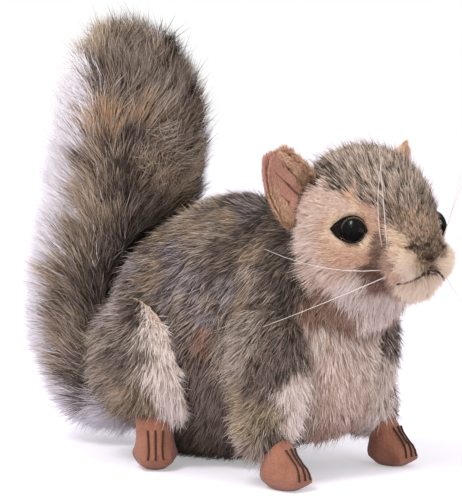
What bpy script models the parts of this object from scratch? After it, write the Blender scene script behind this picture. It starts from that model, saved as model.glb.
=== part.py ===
"""A stuffed plush squirrel that crouches on four feet with its bushy tail raised behind its back.

Metres, +Z up. The squirrel looks along -Y, so its right side is at -X. The origin is on the
surface that it stands on, below the middle of its bounding box.
"""

import math

import bmesh
import bpy
from mathutils import Euler, Matrix, Vector
from mathutils.bvhtree import BVHTree

# Sewn seams: the space that two stuffed forms keep between their skins
SEAM = 0.0003

# Torso, as lobes of stuffing: the middle of each and its half sizes across, along and up
RUMP_AT = (0.0, 0.042, 0.063)
RUMP_HALF = (0.051, 0.053, 0.068)
LOIN_AT = (0.0, 0.010, 0.073)
LOIN_HALF = (0.049, 0.062, 0.0742)
SHOULDERS_AT = (0.0, -0.030, 0.084)
SHOULDERS_HALF = (0.045, 0.042, 0.056)
BREAST_AT = (0.0, -0.040, 0.052)
BREAST_HALF = (0.036, 0.036, 0.040)
TORSO_GRAIN = 0.0115

# Head: where its middle is, how far it turns to the squirrel's right and how far it nods
HEAD_AT = (0.0, -0.071, 0.129)
HEAD_TURN = math.radians(11.0)
HEAD_NOD = math.radians(0.0)
HEAD_GRAIN = 0.0056
# Lobes of the head, from its middle: x to its left, y to its back, z up
SKULL_HALF = (0.036, 0.038, 0.0425)
CHEEK_AT = (0.017, -0.012, -0.013)
CHEEK_HALF = (0.020, 0.024, 0.021)
BROW_AT = (0.0, -0.019, 0.008)
BROW_HALF = (0.024, 0.024, 0.022)
BRIDGE_AT = (0.0, -0.033, -0.001)
BRIDGE_HALF = (0.0165, 0.017, 0.0135)
NOSE_AT = (0.0, -0.0435, -0.0065)
NOSE_HALF = (0.0125, 0.0110, 0.0090)
NECK_AT = (0.0, 0.012, -0.030)
NECK_HALF = (0.032, 0.030, 0.028)

# Muzzle of short plush: two lip pads and a chin below the mouth
MUZZLE_GRAIN = 0.0038
LIP_AT = (0.0095, -0.0400, -0.0138)
LIP_HALF = (0.0125, 0.0116, 0.0104)
LIP_SPLAY = math.radians(24.0)
CHIN_AT = (0.0, -0.0355, -0.0262)
CHIN_HALF = (0.0130, 0.0115, 0.0078)

# Mouth: dark thread along the parting between lips and chin
THREAD_RADIUS = 0.0006
MOUTH_HALF_WIDTH = 0.0150
MOUTH_MIDDLE_Z = -0.0180
MOUTH_DROP = 0.0060
MOUTH_STEPS = 12

# Eyes: black domes with a moulded stem that a washer locks inside the head
EYE_TOWARDS = (0.0281, -0.0238, 0.0022)
EYE_RADIUS = 0.0062
EYE_RISE = 0.0036
EYE_EDGE = 0.0008
STEM_RADIUS = 0.0016
STEM_LENGTH = 0.0105
WASHER_RADIUS = 0.0058
WASHER_THICK = 0.0012
WASHER_DEPTH = 0.0052
EYE_CLEARANCE = 0.0003
ROUND_STEPS = 16

# Eye patch: black felt cut as an almond and sewn flat on the face round the eye
PATCH_THICK = 0.0009
PATCH_FRONT = 0.0073
PATCH_BACK = 0.0122
PATCH_HALF_HEIGHT = 0.0070
PATCH_TILT = math.radians(-3.0)
PATCH_STEPS = 8

# Ears: a cupped leaf of two cloths, plush outside and velour inside
EAR_TOWARDS = (0.0335, 0.0108, 0.0115)
EAR_HEIGHT = 0.0400
EAR_HALF_WIDTH = 0.0140
EAR_SINK = 0.0080
EAR_LEAN_OUT = math.radians(24.0)
EAR_LEAN_BACK = math.radians(12.0)
EAR_FACING = math.radians(36.0)
EAR_CUP = math.radians(200.0)
EAR_DEPTH = 0.0098
EAR_PLUSH = 0.0017
EAR_LINING = 0.0011
EAR_ROWS = 7
EAR_COLUMNS = 8

# Whiskers: nylon bristles. Each has its root, its length, the way that it leaves the lip and
# the way that its far end has bent by then
WHISKER_RADIUS = 0.00035
WHISKER_STEPS = 6
WHISKERS = {
    "high": ((0.0170, -0.0370, -0.0110), 0.056, (0.26, -0.16, 1.0), (-0.002, 0.002, 0.0)),
    "upper": ((0.0180, -0.0350, -0.0105), 0.048, (0.36, -0.12, 1.0), (-0.006, -0.006, 0.0)),
    "mid": ((0.0165, -0.0400, -0.0165), 0.058, (0.80, 0.62, -0.10), (0.0, 0.0, 0.016)),
    "low": ((0.0165, -0.0395, -0.0190), 0.066, (0.78, 0.56, -0.42), (0.0, 0.0, 0.002)),
}

# Forelegs, from the middle of the paw's print on the ground
FORE_TRACK = 0.088
FORE_PRINT_Y = -0.055
UPPER_ARM_AT = (-0.0085, 0.016, 0.048)
UPPER_ARM_HALF = (0.0165, 0.0230, 0.0330)
FOREARM_AT = (0.002, 0.0130, 0.0280)
FOREARM_HALF = (0.0155, 0.0165, 0.0175)
ARM_ROOT_INSET = 0.010
ARM_ROOT_HALF = (0.0200, 0.0270, 0.0340)
FORELEG_GRAIN = 0.0075

# Hind legs: a round haunch against the rump, over a foot that points outwards
HAUNCH_AT = (0.0430, 0.044, 0.0575)
HAUNCH_HALF = (0.0205, 0.0360, 0.0380)
SHIN_AT = (0.0365, 0.0190, 0.046)
SHIN_HALF = (0.0145, 0.0180, 0.0260)
HOCK_AT = (0.0385, 0.041, 0.041)
HOCK_HALF = (0.0155, 0.0190, 0.0175)
HAUNCH_GRAIN = 0.0080
HIND_TOE_AT = (0.0555, 0.0215)
HIND_SPLAY = math.radians(46.0)

# Feet: velour mittens with four stitched toes and a flat sole
FOOT_GRAIN = 0.0040
TOES = 4
TOE_PITCH = 0.0046
TOE_HALF = (0.0034, 0.0120, 0.0052)
TOE_SLOPE = math.radians(22.0)
FOREPAW_HALF = (0.0102, 0.0155, 0.0085)
FOREPAW_WRIST_AT = (0.0, 0.0030, 0.0165)
FOREPAW_WRIST_HALF = (0.0095, 0.0090, 0.0160)
WRIST_LEAN = math.radians(30.0)
HINDPAW_HALF = (0.0125, 0.0165, 0.0095)
HINDPAW_WRIST_AT = (0.0, -0.0005, 0.0235)
HINDPAW_WRIST_HALF = (0.0118, 0.0095, 0.0200)
SOLE_SINK = 0.0016

# Dark thread sewn over each parting between two toes, from under the toes up over their ends
TOE_THREAD_RADIUS = 0.0005
TOE_THREAD_FROM = math.radians(-12.0)
TOE_THREAD_TO = {"forepaw": math.radians(64.0), "hind_foot": math.radians(44.0)}
TOE_THREAD_STEPS = 5

# Tail: fat lobes along a line that leaves the rump low and climbs behind the back.
# Each stop is how far behind the rump's middle it is, its height and its half thickness
TAIL_STOPS = (
    (0.046, 0.036, 0.0290),
    (0.066, 0.042, 0.0360),
    (0.073, 0.070, 0.0400),
    (0.068, 0.098, 0.0415),
    (0.058, 0.130, 0.0415),
    (0.050, 0.160, 0.0430),
    (0.048, 0.184, 0.0395),
    (0.050, 0.203, 0.0310),
)
TAIL_GRAIN = 0.0120

# Flat spot that the stuffed forms settle to where they meet the ground
GROUND_SIZE = 0.600

PLUSH_GREY = (0.19, 0.155, 0.125)
PLUSH_CREAM = (0.62, 0.50, 0.40)
VELOUR_TAN = (0.48, 0.25, 0.17)
VELOUR_PINK = (0.50, 0.29, 0.22)
BLACK = (0.010, 0.009, 0.009)
THREAD_BROWN = (0.030, 0.018, 0.012)
NYLON_CLEAR = (0.80, 0.75, 0.70)

SIDES = {"right": -1, "left": 1}


def clear_scene():
    for old in list(bpy.data.objects):
        bpy.data.objects.remove(old)


def finish(name, colour, roughness):
    """A material of one colour for a sub-part."""
    made = bpy.data.materials.new(name)
    made.use_nodes = True
    shader = made.node_tree.nodes["Principled BSDF"]
    shader.inputs["Base Color"].default_value = (*colour, 1.0)
    shader.inputs["Roughness"].default_value = roughness
    shader.inputs["Metallic"].default_value = 0.0
    return made


def add_object(name, mesh, material, frame=None):
    made = bpy.data.objects.new(name, mesh)
    bpy.context.scene.collection.objects.link(made)
    if material is not None:
        made.data.materials.append(material)
    made.parent = frame
    return made


def mesh_of(bm, name):
    mesh = bpy.data.meshes.new(name)
    bm.to_mesh(mesh)
    bm.free()
    return mesh


def evaluated_mesh(source):
    """The mesh that an object's modifiers give, as a new mesh in the object's own axes."""
    bpy.context.view_layer.update()
    graph = bpy.context.evaluated_depsgraph_get()
    return bpy.data.meshes.new_from_object(source.evaluated_get(graph))


def mirrored(point, side):
    """A point or half size given for the left side, on the side asked for."""
    return Vector((point[0] * side, point[1], point[2]))


def stuffed_mesh(name, lobes, grain):
    """Ellipsoid lobes, each (middle, half sizes, turn), melted into one soft skin."""
    bm = bmesh.new()
    for middle, half, turn in lobes:
        place = Matrix.Translation(middle) @ Euler(turn).to_matrix().to_4x4()
        shape = place @ Matrix.Diagonal((*half, 1.0))
        bmesh.ops.create_icosphere(bm, subdivisions=3, radius=1.0, matrix=shape)
    rough = add_object(name + "_lobes", mesh_of(bm, name + "_lobes"), None)
    melt = rough.modifiers.new("melt", "REMESH")
    melt.mode = "VOXEL"
    melt.voxel_size = grain
    soften = rough.modifiers.new("soften", "SMOOTH")
    soften.factor = 0.5
    soften.iterations = 5
    bm = bmesh.new()
    bm.from_mesh(evaluated_mesh(rough))
    bmesh.ops.triangulate(bm, faces=bm.faces)
    bpy.data.objects.remove(rough)
    mesh = mesh_of(bm, name)
    mesh.shade_smooth()
    return mesh


def grown_cutter(source, growth):
    """A hidden copy of a form, larger by the seam, that trims what is sewn against it."""
    mesh = source.data.copy()
    for vertex in mesh.vertices:
        vertex.co = vertex.co + vertex.normal * growth
    cutter = add_object(source.name + "_cutter", mesh, None)
    cutter.parent = source.parent
    cutter.matrix_parent_inverse = source.matrix_parent_inverse
    cutter.matrix_basis = source.matrix_basis
    hide_helper(cutter)
    return cutter


def hide_helper(helper):
    helper.hide_render = True
    helper.display_type = "WIRE"


def trim(piece, cutter, operation="DIFFERENCE"):
    cut = piece.modifiers.new("trim_" + cutter.name, "BOOLEAN")
    cut.operation = operation
    cut.solver = "EXACT"
    cut.object = cutter


def ground_block():
    """A block whose top is the surface that the squirrel stands on."""
    bm = bmesh.new()
    bmesh.ops.create_cube(bm, size=GROUND_SIZE)
    bmesh.ops.translate(bm, verts=bm.verts, vec=(0.0, 0.0, -GROUND_SIZE / 2))
    block = add_object("ground_block", mesh_of(bm, "ground_block"), None)
    hide_helper(block)
    return block


def skin_tree(*meshes):
    """A search tree over the skin of one or more forms, for seating pieces on it."""
    corners = []
    faces = []
    for mesh in meshes:
        first = len(corners)
        corners += [vertex.co.copy() for vertex in mesh.vertices]
        faces += [[first + corner for corner in face.vertices] for face in mesh.polygons]
    return BVHTree.FromPolygons(corners, faces)


def seat(tree, inside, towards):
    """Where a line from a point inside the form leaves its skin, and the skin's way out there."""
    direction = Vector(towards).normalized()
    reach = Vector(inside) + direction
    hit, normal, _, _ = tree.ray_cast(reach, -direction)
    return hit, normal


def turned(name, profile, steps=ROUND_STEPS):
    """A solid of revolution about Z from (radius, height) points that start and end on the axis."""
    bm = bmesh.new()
    rim = [bm.verts.new((radius, 0.0, height)) for radius, height in profile]
    for first, second in zip(rim, rim[1:]):
        bm.edges.new((first, second))
    bmesh.ops.spin(
        bm,
        geom=list(bm.verts) + list(bm.edges),
        cent=(0, 0, 0),
        axis=(0, 0, 1),
        angle=math.tau,
        steps=steps,
        use_merge=True,
    )
    bmesh.ops.remove_doubles(bm, verts=bm.verts, dist=1e-6)
    bmesh.ops.recalc_face_normals(bm, faces=bm.faces)
    return mesh_of(bm, name)


def along(direction, up=(0.0, 0.0, 1.0)):
    """A rotation whose Z follows the direction and whose Y is as near up as it can be."""
    z = Vector(direction).normalized()
    x = Vector(up).cross(z).normalized()
    y = z.cross(x)
    return Matrix((x, y, z)).transposed()


def make_torso(plush, ground):
    lobes = [
        (RUMP_AT, RUMP_HALF, (0, 0, 0)),
        (LOIN_AT, LOIN_HALF, (0, 0, 0)),
        (SHOULDERS_AT, SHOULDERS_HALF, (0, 0, 0)),
        (BREAST_AT, BREAST_HALF, (0, 0, 0)),
    ]
    torso = add_object("torso", stuffed_mesh("torso", lobes, TORSO_GRAIN), plush)
    trim(torso, ground)
    return torso


def make_head_frame():
    frame = bpy.data.objects.new("head_frame", None)
    bpy.context.scene.collection.objects.link(frame)
    frame.location = HEAD_AT
    frame.rotation_euler = (HEAD_NOD, 0.0, -HEAD_TURN)
    return frame


def make_head(frame, plush, torso_cutter):
    lobes = [
        ((0, 0, 0), SKULL_HALF, (0, 0, 0)),
        (BROW_AT, BROW_HALF, (0, 0, 0)),
        (BRIDGE_AT, BRIDGE_HALF, (0, 0, 0)),
        (NOSE_AT, NOSE_HALF, (0, 0, 0)),
        (NECK_AT, NECK_HALF, (0, 0, 0)),
    ]
    for side in SIDES.values():
        lobes.append((mirrored(CHEEK_AT, side), CHEEK_HALF, (0, 0, 0)))
    head = add_object("head", stuffed_mesh("head", lobes, HEAD_GRAIN), plush, frame)
    trim(head, torso_cutter)
    return head


def make_muzzle(frame, plush, head_cutter):
    lobes = [(CHIN_AT, CHIN_HALF, (0, 0, 0))]
    for side in SIDES.values():
        lobes.append((mirrored(LIP_AT, side), LIP_HALF, (0, 0, side * LIP_SPLAY)))
    muzzle = add_object("muzzle", stuffed_mesh("muzzle", lobes, MUZZLE_GRAIN), plush, frame)
    trim(muzzle, head_cutter)
    return muzzle


def tube(name, points, radius, material, frame):
    """A closed six-sided tube of one radius along points."""
    curve = bpy.data.curves.new(name, "CURVE")
    curve.dimensions = "3D"
    curve.bevel_depth = radius
    curve.bevel_resolution = 1
    curve.use_fill_caps = True
    line = curve.splines.new("POLY")
    line.points.add(len(points) - 1)
    for spot, point in zip(line.points, points):
        spot.co = (*point, 1.0)
    return add_object(name, curve, material, frame)


def make_mouth_thread(frame, thread, muzzle_tree):
    """Thread that lies on the muzzle from one mouth corner over the middle to the other."""
    points = []
    for step in range(MOUTH_STEPS + 1):
        across = 2.0 * step / MOUTH_STEPS - 1.0
        x = MOUTH_HALF_WIDTH * across
        z = MOUTH_MIDDLE_Z - MOUTH_DROP * abs(across) ** 1.5
        start = Vector((x, LIP_AT[1] - LIP_HALF[1] * (1.0 - 0.9 * across * across), z))
        hit, normal, _, _ = muzzle_tree.find_nearest(start)
        points.append(hit + normal * (THREAD_RADIUS + SEAM))
    return tube("mouth_thread", points, THREAD_RADIUS, thread, frame)


def eye_profile():
    """The eye's outline from the dome's top to the stem's end, with the face's skin at height 0."""
    dome = []
    for step in range(6):
        angle = math.radians(90.0 * step / 5)
        dome.append((EYE_RADIUS * math.sin(angle), EYE_EDGE + EYE_RISE * math.cos(angle)))
    dome[0] = (0.0, dome[0][1])
    stem = [
        (EYE_RADIUS, 0.0),
        (STEM_RADIUS, 0.0),
        (STEM_RADIUS, -STEM_LENGTH),
        (0.0, -STEM_LENGTH),
    ]
    return dome + stem


def socket_profile():
    """The hole that the head has for the stem and its washer, open at the skin."""
    bore = STEM_RADIUS + EYE_CLEARANCE
    pocket = WASHER_RADIUS + EYE_CLEARANCE
    top = -WASHER_DEPTH + EYE_CLEARANCE
    bottom = -WASHER_DEPTH - WASHER_THICK - EYE_CLEARANCE
    seat_radius = EYE_RADIUS + EYE_CLEARANCE
    return [
        (0.0, EYE_RISE + PATCH_THICK),
        (seat_radius, EYE_RISE + PATCH_THICK),
        (seat_radius, -EYE_CLEARANCE),
        (bore, -EYE_CLEARANCE),
        (bore, top),
        (pocket, top),
        (pocket, bottom),
        (bore, bottom),
        (bore, -STEM_LENGTH - EYE_CLEARANCE),
        (0.0, -STEM_LENGTH - EYE_CLEARANCE),
    ]


def make_washer_mesh():
    """A flat ring with a hole for the stem."""
    bm = bmesh.new()
    bore = STEM_RADIUS + EYE_CLEARANCE
    corners = [
        (bore, -WASHER_DEPTH),
        (WASHER_RADIUS, -WASHER_DEPTH),
        (WASHER_RADIUS, -WASHER_DEPTH - WASHER_THICK),
        (bore, -WASHER_DEPTH - WASHER_THICK),
    ]
    rim = [bm.verts.new((radius, 0.0, height)) for radius, height in corners]
    for first, second in zip(rim, rim[1:] + rim[:1]):
        bm.edges.new((first, second))
    bmesh.ops.spin(
        bm,
        geom=list(bm.verts) + list(bm.edges),
        cent=(0, 0, 0),
        axis=(0, 0, 1),
        angle=math.tau,
        steps=ROUND_STEPS,
        use_merge=True,
    )
    bmesh.ops.remove_doubles(bm, verts=bm.verts, dist=1e-6)
    bmesh.ops.recalc_face_normals(bm, faces=bm.faces)
    return mesh_of(bm, "eye_washer")


def almond_prism(name, side):
    """A tall prism with the eye patch's outline, about Z: its long corner lies behind the eye."""
    outline = []
    for step in range(PATCH_STEPS):
        share = step / PATCH_STEPS
        outline.append((PATCH_FRONT - (PATCH_FRONT + PATCH_BACK) * share, 1.0))
    for step in range(PATCH_STEPS):
        share = step / PATCH_STEPS
        outline.append((-PATCH_BACK + (PATCH_FRONT + PATCH_BACK) * share, -1.0))
    bm = bmesh.new()
    corners = []
    for x, way in outline:
        reach = PATCH_FRONT if x > 0 else PATCH_BACK
        bow = math.cos(math.pi / 2 * x / reach) ** (0.45 if x > 0 else 0.8)
        spot = Vector((x, way * PATCH_HALF_HEIGHT * bow, 0.0))
        spot.rotate(Euler((0, 0, PATCH_TILT)))
        corners.append(bm.verts.new((-spot.x * side, spot.y, -EYE_RADIUS)))
    face = bm.faces.new(corners)
    lifted = bmesh.ops.extrude_face_region(bm, geom=[face])["geom"]
    tops = [item for item in lifted if isinstance(item, bmesh.types.BMVert)]
    bmesh.ops.translate(bm, verts=tops, vec=(0, 0, 2 * EYE_RADIUS))
    bmesh.ops.recalc_face_normals(bm, faces=bm.faces)
    return mesh_of(bm, name)


def make_eye(frame, name, side, head, head_tree, finishes):
    """The eye, its washer and its felt patch, and the hole for them in the head."""
    hit, normal = seat(head_tree, (0, 0, 0), mirrored(EYE_TOWARDS, side))
    place = Matrix.Translation(hit) @ along(normal).to_4x4()
    eye = add_object("eye_" + name, turned("eye_" + name, eye_profile()), finishes["black"], frame)
    washer = add_object("eye_washer_" + name, make_washer_mesh(), finishes["nylon"], frame)
    socket = add_object("eye_socket_" + name, turned("socket_" + name, socket_profile()), None, frame)
    patch = add_object("eye_patch_" + name, almond_prism("patch_" + name, side), finishes["felt"], frame)
    for made in (eye, washer, socket, patch):
        made.matrix_local = place
    hide_helper(socket)
    inner = grown_cutter(head, SEAM)
    outer = grown_cutter(head, SEAM + PATCH_THICK)
    trim(patch, outer, "INTERSECT")
    trim(patch, inner)
    trim(patch, socket)
    trim(head, socket)


def ear_leaf(side, inset):
    """The ear's cupped leaf as a grid, from its root to its tip, drawn in by inset."""
    bm = bmesh.new()
    rows = []
    for row in range(EAR_ROWS + 1):
        share = row / EAR_ROWS
        swell = math.sin(math.pi * (0.24 + 0.68 * share)) ** 0.60
        width = EAR_HALF_WIDTH * swell - inset
        depth = EAR_DEPTH * swell * (1.0 - 0.45 * share) - inset
        height = EAR_HEIGHT * share - EAR_SINK - inset * share
        line = []
        for column in range(EAR_COLUMNS + 1):
            angle = EAR_CUP * (column / EAR_COLUMNS - 0.5)
            x = width * math.sin(angle)
            y = depth * math.cos(angle)
            line.append(bm.verts.new((side * x, y, height)))
        rows.append(line)
    for low, high in zip(rows, rows[1:]):
        for column in range(EAR_COLUMNS):
            bm.faces.new((low[column], low[column + 1], high[column + 1], high[column]))
    bmesh.ops.recalc_face_normals(bm, faces=bm.faces)
    return bm


def make_ear(frame, name, side, head_tree, head_cutter, finishes):
    """One ear: an outer leaf of plush and, inside it, a lining of velour."""
    hit, _ = seat(head_tree, (0, 0, 0), mirrored(EAR_TOWARDS, side))
    lean = Euler((-EAR_LEAN_BACK, side * EAR_LEAN_OUT, 0)).to_matrix().to_4x4()
    facing = Matrix.Rotation(side * EAR_FACING, 4, "Z")
    place = Matrix.Translation(hit) @ lean @ facing
    layers = (
        ("ear_" + name, 0.0, EAR_PLUSH, finishes["ear_plush"]),
        ("ear_lining_" + name, EAR_PLUSH + SEAM, EAR_LINING, finishes["lining"]),
    )
    for layer, inset, thickness, material in layers:
        mesh = mesh_of(ear_leaf(side, inset), layer)
        ear = add_object(layer, mesh, material, frame)
        ear.matrix_local = place
        wall = ear.modifiers.new("wall", "SOLIDIFY")
        wall.thickness = thickness
        wall.offset = -1.0
        trim(ear, head_cutter)


def make_whiskers(frame, name, side, face_tree, nylon):
    for label, (root, length, way, bend) in WHISKERS.items():
        direction = mirrored(way, side).normalized()
        outside = mirrored(root, side) + direction * length
        hit, normal, _, _ = face_tree.ray_cast(outside, -direction)
        lean = max(normal.dot(direction), 0.2)
        start = hit + direction * ((SEAM + WHISKER_RADIUS) / lean)
        points = []
        for step in range(WHISKER_STEPS + 1):
            share = step / WHISKER_STEPS
            bent = mirrored(bend, side) * share * share
            points.append(start + direction * (length * share) + bent)
        tube("whisker_" + label + "_" + name, points, WHISKER_RADIUS, nylon, frame)


def foot_mesh(name, half, wrist_at, wrist_half):
    """A mitten that points along -Y with its sole near height 0 and its toes side by side."""
    pad_height = half[2] - SOLE_SINK
    lobes = [
        ((0, 0, pad_height), half, (0, 0, 0)),
        (wrist_at, wrist_half, (-WRIST_LEAN, 0, 0)),
    ]
    for toe in range(TOES):
        across = toe - (TOES - 1) / 2
        x = across * TOE_PITCH
        y = -half[1] + TOE_HALF[1] * (0.92 + 0.10 * across * across / TOES)
        middle = (x, y, pad_height)
        lobes.append((middle, TOE_HALF, (TOE_SLOPE, 0, 0.06 * across)))
    return stuffed_mesh(name, lobes, FOOT_GRAIN)


def add_toe_threads(paw, kind, name, half, thread):
    """Three threads that part the toes of a foot."""
    tree = skin_tree(paw.data)
    for parting in range(TOES - 1):
        across = parting - (TOES - 2) / 2
        points = []
        for step in range(TOE_THREAD_STEPS + 1):
            share = step / TOE_THREAD_STEPS
            angle = TOE_THREAD_FROM + (TOE_THREAD_TO[kind] - TOE_THREAD_FROM) * share
            y = -half[1] * 1.05 * math.cos(angle)
            z = half[2] * (1.0 + 1.9 * math.sin(angle))
            guide = Vector((across * TOE_PITCH, y, z))
            hit, normal, _, _ = tree.find_nearest(guide)
            points.append(hit + normal * (TOE_THREAD_RADIUS + SEAM))
        label = "toe_thread_" + kind + "_" + name + "_" + "abc"[parting]
        sewn = tube(label, points, TOE_THREAD_RADIUS, thread, None)
        sewn.location = paw.location
        sewn.rotation_euler = paw.rotation_euler


def make_foreleg(name, side, finishes, torso_cutter, ground):
    """A foreleg and the paw that it stands on."""
    stand = mirrored((FORE_TRACK / 2, FORE_PRINT_Y, 0), side)
    root_x = SHOULDERS_HALF[0] - ARM_ROOT_INSET
    root = mirrored((root_x, FORE_PRINT_Y + UPPER_ARM_AT[1], SHOULDERS_AT[2] - 0.018), side)
    lobes = [
        (root, ARM_ROOT_HALF, (0, 0, 0)),
        (stand + mirrored(UPPER_ARM_AT, side), UPPER_ARM_HALF, (0, 0, 0)),
        (stand + mirrored(FOREARM_AT, side), FOREARM_HALF, (0, 0, 0)),
    ]
    leg_mesh = stuffed_mesh("foreleg_" + name, lobes, FORELEG_GRAIN)
    leg = add_object("foreleg_" + name, leg_mesh, finishes["grey"])
    leg_cutter = grown_cutter(leg, SEAM)
    trim(leg, torso_cutter)
    trim(leg, ground)
    paw_mesh = foot_mesh("forepaw_" + name, FOREPAW_HALF, FOREPAW_WRIST_AT, FOREPAW_WRIST_HALF)
    paw = add_object("forepaw_" + name, paw_mesh, finishes["tan"])
    paw.location = stand
    add_toe_threads(paw, "forepaw", name, FOREPAW_HALF, finishes["thread"])
    for cutter in (leg_cutter, torso_cutter, ground):
        trim(paw, cutter)


def make_hind_leg(name, side, finishes, torso_cutter, ground):
    """A haunch sewn to the rump and the foot under it. Returns what trims the tail."""
    lobes = [
        (mirrored(HAUNCH_AT, side), HAUNCH_HALF, (0, 0, 0)),
        (mirrored(SHIN_AT, side), SHIN_HALF, (0, 0, 0)),
        (mirrored(HOCK_AT, side), HOCK_HALF, (0, 0, 0)),
    ]
    haunch_mesh = stuffed_mesh("haunch_" + name, lobes, HAUNCH_GRAIN)
    haunch = add_object("haunch_" + name, haunch_mesh, finishes["grey"])
    haunch_cutter = grown_cutter(haunch, SEAM)
    trim(haunch, torso_cutter)
    trim(haunch, ground)
    foot = add_object(
        "hind_foot_" + name,
        foot_mesh("hind_foot_" + name, HINDPAW_HALF, HINDPAW_WRIST_AT, HINDPAW_WRIST_HALF),
        finishes["tan"],
    )
    way_back = Vector((-side * math.sin(HIND_SPLAY), math.cos(HIND_SPLAY), 0.0))
    toes = Vector((side * HIND_TOE_AT[0], HIND_TOE_AT[1], 0.0))
    foot.location = toes + way_back * HINDPAW_HALF[1]
    foot.rotation_euler = (0, 0, side * HIND_SPLAY)
    add_toe_threads(foot, "hind_foot", name, HINDPAW_HALF, finishes["thread"])
    for cutter in (haunch_cutter, torso_cutter, ground):
        trim(foot, cutter)
    return haunch_cutter


def make_tail(plush, cutters):
    lobes = []
    for behind, height, half in TAIL_STOPS:
        lobes.append(((0.0, RUMP_AT[1] + behind, height), (half, half, half), (0, 0, 0)))
    tail = add_object("tail", stuffed_mesh("tail", lobes, TAIL_GRAIN), plush)
    for cutter in cutters:
        trim(tail, cutter)
    return tail


def stand_over_origin():
    """Move the whole squirrel along the ground until its bounding box is over the origin."""
    low = [math.inf, math.inf]
    high = [-math.inf, -math.inf]
    shown = [item for item in bpy.data.objects if item.data and not item.hide_render]
    for item in shown:
        mesh = evaluated_mesh(item)
        for vertex in mesh.vertices:
            spot = item.matrix_world @ vertex.co
            for axis in (0, 1):
                low[axis] = min(low[axis], spot[axis])
                high[axis] = max(high[axis], spot[axis])
        bpy.data.meshes.remove(mesh)
    for item in bpy.data.objects:
        if item.parent is None:
            item.location.x -= (low[0] + high[0]) / 2
            item.location.y -= (low[1] + high[1]) / 2


def main():
    clear_scene()
    finishes = {
        "grey": finish("grey_plush", PLUSH_GREY, 0.95),
        "cream": finish("cream_plush", PLUSH_CREAM, 0.95),
        "tan": finish("tan_velour", VELOUR_TAN, 0.9),
        "ear_plush": finish("ear_plush", VELOUR_TAN, 0.95),
        "lining": finish("ear_velour", VELOUR_PINK, 0.9),
        "black": finish("eye_black", BLACK, 0.08),
        "felt": finish("eye_felt", BLACK, 0.9),
        "thread": finish("brown_thread", THREAD_BROWN, 0.8),
        "nylon": finish("clear_nylon", NYLON_CLEAR, 0.3),
    }
    ground = ground_block()
    torso = make_torso(finishes["grey"], ground)
    torso_cutter = grown_cutter(torso, SEAM)

    frame = make_head_frame()
    head = make_head(frame, finishes["grey"], torso_cutter)
    head_tree = skin_tree(head.data)
    head_cutter = grown_cutter(head, SEAM)
    muzzle = make_muzzle(frame, finishes["cream"], head_cutter)
    muzzle_tree = skin_tree(muzzle.data)
    face_tree = skin_tree(head.data, muzzle.data)
    make_mouth_thread(frame, finishes["thread"], muzzle_tree)

    haunch_cutters = []
    for name, side in SIDES.items():
        make_eye(frame, name, side, head, head_tree, finishes)
        make_ear(frame, name, side, head_tree, head_cutter, finishes)
        make_whiskers(frame, name, side, face_tree, finishes["nylon"])
        make_foreleg(name, side, finishes, torso_cutter, ground)
        haunch_cutters.append(make_hind_leg(name, side, finishes, torso_cutter, ground))
    make_tail(finishes["grey"], [torso_cutter, ground, *haunch_cutters])
    stand_over_origin()


main()
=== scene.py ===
"""Looks of the plush squirrel: cloth skins inside the CAD forms, the fur that grows from them,
velour feet and ears, moulded eyes and nylon whiskers, on a white studio ground."""

import math
from types import SimpleNamespace

import bmesh
import bpy
import numpy as np
from mathutils import Matrix, Vector, kdtree
from mathutils.bvhtree import BVHTree


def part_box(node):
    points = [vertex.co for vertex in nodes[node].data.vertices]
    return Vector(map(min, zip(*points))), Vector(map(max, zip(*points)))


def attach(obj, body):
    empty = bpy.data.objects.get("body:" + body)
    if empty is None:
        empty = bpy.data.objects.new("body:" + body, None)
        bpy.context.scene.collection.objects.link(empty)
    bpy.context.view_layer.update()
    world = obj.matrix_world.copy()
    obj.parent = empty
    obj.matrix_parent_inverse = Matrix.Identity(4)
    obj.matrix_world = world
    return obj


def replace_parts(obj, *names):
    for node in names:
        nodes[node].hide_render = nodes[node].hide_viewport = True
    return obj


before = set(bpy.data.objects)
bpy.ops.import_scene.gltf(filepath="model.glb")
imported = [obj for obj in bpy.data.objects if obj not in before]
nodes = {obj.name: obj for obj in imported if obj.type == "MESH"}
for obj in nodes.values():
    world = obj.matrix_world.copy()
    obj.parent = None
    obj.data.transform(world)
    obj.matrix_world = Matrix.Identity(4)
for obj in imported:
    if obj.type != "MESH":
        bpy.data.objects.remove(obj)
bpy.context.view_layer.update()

# View. The camera stands halfway between the toy's front and its right side, level with the
# tail's top. Places in the fur are noted where the picture shows them, as pixels, and a line of
# sight carries each to its node.
PICTURE = (462, 500)
PIXEL = 0.0005  # metres across one pixel, at the near forepaw
VIEW_TURN, VIEW_TILT, VIEW_DISTANCE = math.radians(-49), math.radians(5.5), 1.2
PAW_PIXEL = (284, 489)  # the ground under the near forepaw
OUT_WEIGHT, SIGHT_WEIGHT = 2, 0.25  # how firmly a way in the picture is held to the surface

to_camera = Vector(
    (
        math.sin(VIEW_TURN) * math.cos(VIEW_TILT),
        -math.cos(VIEW_TURN) * math.cos(VIEW_TILT),
        math.sin(VIEW_TILT),
    )
)
right = Vector((math.cos(VIEW_TURN), math.sin(VIEW_TURN), 0))
upward = to_camera.cross(right)


def middle_of(node):
    """The middle of a node's box."""
    low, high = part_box(node)
    return (Vector(low) + Vector(high)) / 2


paw = middle_of("forepaw_right")
paw.z = 0
aim = (
    paw
    - right * (PAW_PIXEL[0] - PICTURE[0] / 2) * PIXEL
    + upward * (PAW_PIXEL[1] - PICTURE[1] / 2) * PIXEL
)
eye_point = aim + to_camera * VIEW_DISTANCE

forms = {}


def form(node):
    """A node's CAD form, for finding places on it."""
    if node not in forms:
        mesh = nodes[node].data
        forms[node] = BVHTree.FromPolygons(
            [v.co.copy() for v in mesh.vertices], [tuple(p.vertices) for p in mesh.polygons]
        )
    return forms[node]


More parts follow.
